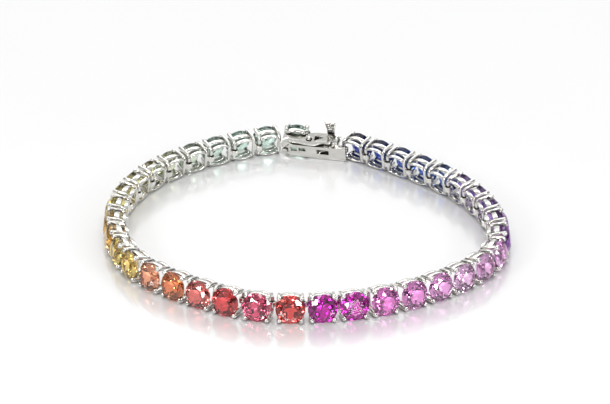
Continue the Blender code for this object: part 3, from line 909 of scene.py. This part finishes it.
def ranged(tree, value, low, high, band=NOISE_MIDDLE, kind="LINEAR"):
    """The value taken from the band to the range from low to high."""
    span = tree.nodes.new("ShaderNodeMapRange")
    span.interpolation_type = kind
    for name, number in zip(("From Min", "From Max", "To Min", "To Max"), (*band, low, high)):
        span.inputs[name].default_value = number
    tree.links.new(value, span.inputs["Value"])
    return span.outputs["Result"]


def stepped(tree, value, band, before, after):
    """A soft step from one level before the band to another after it."""
    return ranged(tree, value, before, after, band, "SMOOTHSTEP")


def computed(tree, operation, *values):
    """A math node over the given outputs."""
    node = tree.nodes.new("ShaderNodeMath")
    node.operation = operation
    for index, value in enumerate(values):
        tree.links.new(value, node.inputs[index])
    return node.outputs["Value"]


def blended(tree, share, first, last, kind="MIX"):
    """A colour between first and last, each of them a colour or another node's output."""
    mix = tree.nodes.new("ShaderNodeMix")
    mix.data_type = "RGBA"
    mix.blend_type = kind
    for name, colour in (("A", first), ("B", last)):
        if isinstance(colour, tuple):
            mix.inputs[name].default_value = colour
        else:
            tree.links.new(colour, mix.inputs[name])
    tree.links.new(share, mix.inputs["Factor"])
    return mix.outputs["Result"]


def bumped(tree, height, strength, distance):
    bump = tree.nodes.new("ShaderNodeBump")
    bump.inputs["Strength"].default_value = strength
    bump.inputs["Distance"].default_value = distance
    tree.links.new(height, bump.inputs["Height"])
    return bump


def rhodium_silver():
    """Polished white metal: low waves, fine polishing marks, and painted shade in its recesses,
    near black where ambient occlusion finds it shut in.
    """
    material, tree, shader = shader_of("rhodium_silver")
    link = tree.links.new
    shader.inputs["Metallic"].default_value = 1.0
    clouds = object_noise(tree, METAL_CLOUD_SCALE)
    polished = blended(tree, clouds, METAL_DARK, METAL_LIGHT)
    # Painted shade: ambient occlusion darkens the base colour towards a near black in recesses and
    # between parts
    occlusion = tree.nodes.new("ShaderNodeAmbientOcclusion")
    occlusion.inputs["Distance"].default_value = PAINTED_SHADE_REACH
    occlusion.samples = PAINTED_SHADE_SAMPLES
    openness = ranged(tree, occlusion.outputs["AO"], 0.0, 1.0)
    link(blended(tree, openness, METAL_PAINTED_SHADE, polished), shader.inputs["Base Color"])
    marks = object_noise(tree, MARK_SCALE, stretch=MARK_STRETCH)
    link(ranged(tree, marks, *MARK_ROUGHNESS), shader.inputs["Roughness"])
    along = object_noise(tree, METAL_CLOUD_SCALE, stretch=WAVE_STRETCH)
    waves = bumped(tree, along, WAVE_STRENGTH, WAVE_HEIGHT)
    fine = bumped(tree, marks, MARK_STRENGTH, MARK_HEIGHT)
    link(waves.outputs["Normal"], fine.inputs["Normal"])
    link(fine.outputs["Normal"], shader.inputs["Normal"])
    return material


def gem(name, first, last):
    """A transparent cut stone. Its colour goes from first to last over the family's stones."""
    material, tree, shader = shader_of(name)
    shader.inputs["Transmission Weight"].default_value = 1.0
    shader.inputs["Roughness"].default_value = 0.0
    shader.inputs["IOR"].default_value = STONE_IOR
    shade = tree.nodes.new("ShaderNodeAttribute")
    shade.attribute_name = "shade"
    zones = object_noise(tree, ZONE_SCALE)
    colour = blended(tree, shade.outputs["Fac"], (*first, 1.0), (*last, 1.0))
    deeper = blended(tree, zones, colour, ZONE_TINT, "MULTIPLY")
    tree.links.new(deeper, shader.inputs["Base Color"])
    return material


# Repeats along the chain


def chain_tree():
    """Geometry nodes that set one piece on every place of the chain, in one finish."""
    tree = bpy.data.node_groups.new("pieces_along_chain", "GeometryNodeTree")
    face = tree.interface
    face.new_socket("Geometry", in_out="INPUT", socket_type="NodeSocketGeometry")
    face.new_socket("Piece", in_out="INPUT", socket_type="NodeSocketObject")
    face.new_socket("Finish", in_out="INPUT", socket_type="NodeSocketMaterial")
    face.new_socket("Size", in_out="INPUT", socket_type="NodeSocketFloat")
    face.new_socket("Geometry", in_out="OUTPUT", socket_type="NodeSocketGeometry")
    nodes = tree.nodes
    given = nodes.new("NodeGroupInput")
    result = nodes.new("NodeGroupOutput")
    info = nodes.new("GeometryNodeObjectInfo")
    info.inputs["As Instance"].default_value = True
    turn = nodes.new("GeometryNodeInputNamedAttribute")
    turn.data_type = "FLOAT_VECTOR"
    turn.inputs["Name"].default_value = "turn"
    to_rotation = nodes.new("FunctionNodeEulerToRotation")
    placed = nodes.new("GeometryNodeInstanceOnPoints")
    real = nodes.new("GeometryNodeRealizeInstances")
    finish = nodes.new("GeometryNodeSetMaterial")
    link = tree.links.new
    link(given.outputs["Piece"], info.inputs["Object"])
    link(given.outputs["Geometry"], placed.inputs["Points"])
    link(info.outputs["Geometry"], placed.inputs["Instance"])
    link(turn.outputs["Attribute"], to_rotation.inputs["Euler"])
    link(to_rotation.outputs["Rotation"], placed.inputs["Rotation"])
    link(given.outputs["Size"], placed.inputs["Scale"])
    link(placed.outputs["Instances"], real.inputs["Geometry"])
    link(real.outputs["Geometry"], finish.inputs["Geometry"])
    link(given.outputs["Finish"], finish.inputs["Material"])
    link(finish.outputs["Geometry"], result.inputs["Geometry"])
    return tree


def repeated(name, mesh, places, shades, tree, material):
    """One object with a copy of the mesh at each place, each with its own share of the shade."""
    piece = bpy.data.objects.new("repeated_piece", mesh)
    bpy.context.scene.collection.objects.link(piece)
    points = bpy.data.meshes.new("places")
    points.from_pydata([tuple(place.translation) for place in places], [], [])
    points.attributes.new("turn", "FLOAT_VECTOR", "POINT")
    points.attributes.new("shade", "FLOAT", "POINT")
    for index, place in enumerate(places):
        points.attributes["turn"].data[index].vector = place.to_euler("XYZ")
        points.attributes["shade"].data[index].value = shades[index]
    holder = bpy.data.objects.new("places", points)
    bpy.context.scene.collection.objects.link(holder)
    modifier = holder.modifiers.new("along", "NODES")
    modifier.node_group = tree
    identifiers = {
        item.name: item.identifier
        for item in tree.interface.items_tree
        if item.in_out == "INPUT"
    }
    modifier[identifiers["Piece"]] = piece
    modifier[identifiers["Finish"]] = material
    modifier[identifiers["Size"]] = 1.0
    result = evaluated(holder)
    bpy.data.objects.remove(holder)
    bpy.data.objects.remove(piece)
    made = bpy.data.objects.new(name, result)
    bpy.context.scene.collection.objects.link(made)
    return made


def placed_piece(name, mesh, place, material):
    """An object at the origin whose mesh lies at the place."""
    made_mesh = transformed(mesh, place)
    made_mesh.materials.clear()
    made_mesh.materials.append(material)
    made = bpy.data.objects.new(name, made_mesh)
    bpy.context.scene.collection.objects.link(made)
    return made


def dress(piece, body, slot, *nodes):
    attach(piece, body)
    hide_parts(*nodes)


def build_bracelet():
    silver = rhodium_silver()
    tree = chain_tree()
    links = [f"link_{index + 1:02d}" for index in range(LINK_COUNT)]
    shades = [index / LINK_COUNT for index in range(LINK_COUNT)]
    settings = repeated("settings", link_setting(), link_frames, shades, tree, silver)
    dress(settings, "bracelet", "rhodium_silver", *links)

    stone = brilliant()
    places = [clasp_frame, *link_frames]
    nodes = ["clasp_box", *links]
    first = 0
    for row in STONES:
        count = row["stones"]
        chosen = [(first + step) % len(places) for step in range(count)]
        material = gem("stone_" + row["name"], row["first"], row["last"])
        shades = [step / max(count - 1, 1) for step in range(count)]
        stones = repeated(
            "stones_" + row["name"], stone, [places[i] for i in chosen], shades, tree, material
        )
        dress(stones, "bracelet", "stone_" + row["name"], *(nodes[i] for i in chosen))
        first += count

    metal = "rhodium_silver"
    for name, mesh, body, node in (
        ("clasp_body", clasp_box(), "bracelet", "clasp_box"),
        ("clasp_setting", clasp_setting(), "bracelet", "clasp_box"),
        ("clasp_stud", stud(), "bracelet", "clasp_box"),
        ("spring_tongue", tongue(), "bracelet", "clasp_tongue"),
        ("hinge_pin", pin(), "bracelet", "latch_pin"),
        ("latch_lever", latch(), "safety_latch", "safety_latch"),
    ):
        dress(placed_piece(name, mesh, clasp_frame, silver), body, metal, node)


# Studio


def floor():
    """The pale, faintly glossy surface that the bracelet stands on."""
    material, tree, shader = shader_of("pale_surface")
    clouds = object_noise(tree, FLOOR_CLOUD_SCALE)
    colour = blended(tree, clouds, FLOOR_FIRST, FLOOR_LAST)
    tree.links.new(colour, shader.inputs["Base Color"])
    tree.links.new(ranged(tree, clouds, *FLOOR_ROUGHNESS), shader.inputs["Roughness"])
    shader.inputs["IOR"].default_value = FLOOR_IOR
    bm = bmesh.new()
    bmesh.ops.create_grid(bm, x_segments=1, y_segments=1, size=FLOOR_REACH)
    mesh = bpy.data.meshes.new("floor")
    bm.to_mesh(mesh)
    bm.free()
    mesh.transform(Matrix.Translation((0, 0, -FLOOR_DROP)))
    mesh.materials.append(material)
    surface = bpy.data.objects.new("floor", mesh)
    bpy.context.scene.collection.objects.link(surface)


def area_light(name, at, towards, size, power):
    lamp = bpy.data.lights.new(name, "AREA")
    lamp.shape = "RECTANGLE"
    lamp.size = size[0]
    lamp.size_y = size[1]
    lamp.energy = power
    light = bpy.data.objects.new(name, lamp)
    light.location = at
    light.rotation_euler = (Vector(towards) - Vector(at)).to_track_quat("-Z", "Y").to_euler()
    bpy.context.scene.collection.objects.link(light)


def studio():
    """A white studio: greyer ceiling and front, dark round the lens, a dark card at each side."""
    world = bpy.data.worlds.new("studio")
    bpy.context.scene.world = world
    world.use_nodes = True
    tree = world.node_tree
    link = tree.links.new
    place = tree.nodes.new("ShaderNodeTexCoord")
    parts = tree.nodes.new("ShaderNodeSeparateXYZ")
    link(place.outputs["Generated"], parts.inputs["Vector"])
    to_lens = tree.nodes.new("ShaderNodeVectorMath")
    to_lens.operation = "DOT_PRODUCT"
    to_lens.inputs[1].default_value = (0, -math.cos(CAMERA_ELEVATION), math.sin(CAMERA_ELEVATION))
    link(place.outputs["Generated"], to_lens.inputs[0])

    sideways = computed(tree, "ABSOLUTE", parts.outputs["X"])
    height = parts.outputs["Z"]
    cards = stepped(tree, sideways, CARD_BAND, 1.0, CARD_LEVEL)
    level = stepped(tree, height, WALL_BAND, HORIZON_LEVEL, WALL_LEVEL)
    for factor in (
        stepped(tree, height, CEILING_BAND, 1.0, CEILING_LEVEL),
        stepped(tree, parts.outputs["Y"], FRONT_BAND, FRONT_LEVEL, 1.0),
        stepped(tree, to_lens.outputs["Value"], LENS_BAND, 1.0, LENS_LEVEL),
        computed(tree, "MAXIMUM", cards, stepped(tree, height, CARD_TOP_BAND, 0.0, 1.0)),
    ):
        level = computed(tree, "MULTIPLY", level, factor)
    background = tree.nodes["Background"]
    link(level, background.inputs["Strength"])
    background.inputs["Color"].default_value = (1.0, 1.0, 1.0, 1.0)
    for lamp in LAMPS:
        area_light(lamp["name"], lamp["at"], (0, 0, 0), lamp["size"], lamp["power"])
    bpy.context.scene.view_settings.view_transform = "Standard"


def camera():
    lens = bpy.data.cameras.new("camera")
    lens.sensor_width = CAMERA_SENSOR
    lens.lens = CAMERA_LENS
    lens.clip_start, lens.clip_end = CAMERA_RANGE
    view = bpy.data.objects.new("camera", lens)
    towards = Vector((0, math.cos(CAMERA_ELEVATION), -math.sin(CAMERA_ELEVATION)))
    view.location = CAMERA_TARGET + shift - CAMERA_DISTANCE * towards
    view.rotation_euler = (math.pi / 2 - CAMERA_ELEVATION, 0, 0)
    bpy.context.scene.collection.objects.link(view)
    bpy.context.scene.camera = view


build_bracelet()
floor()
studio()
camera()
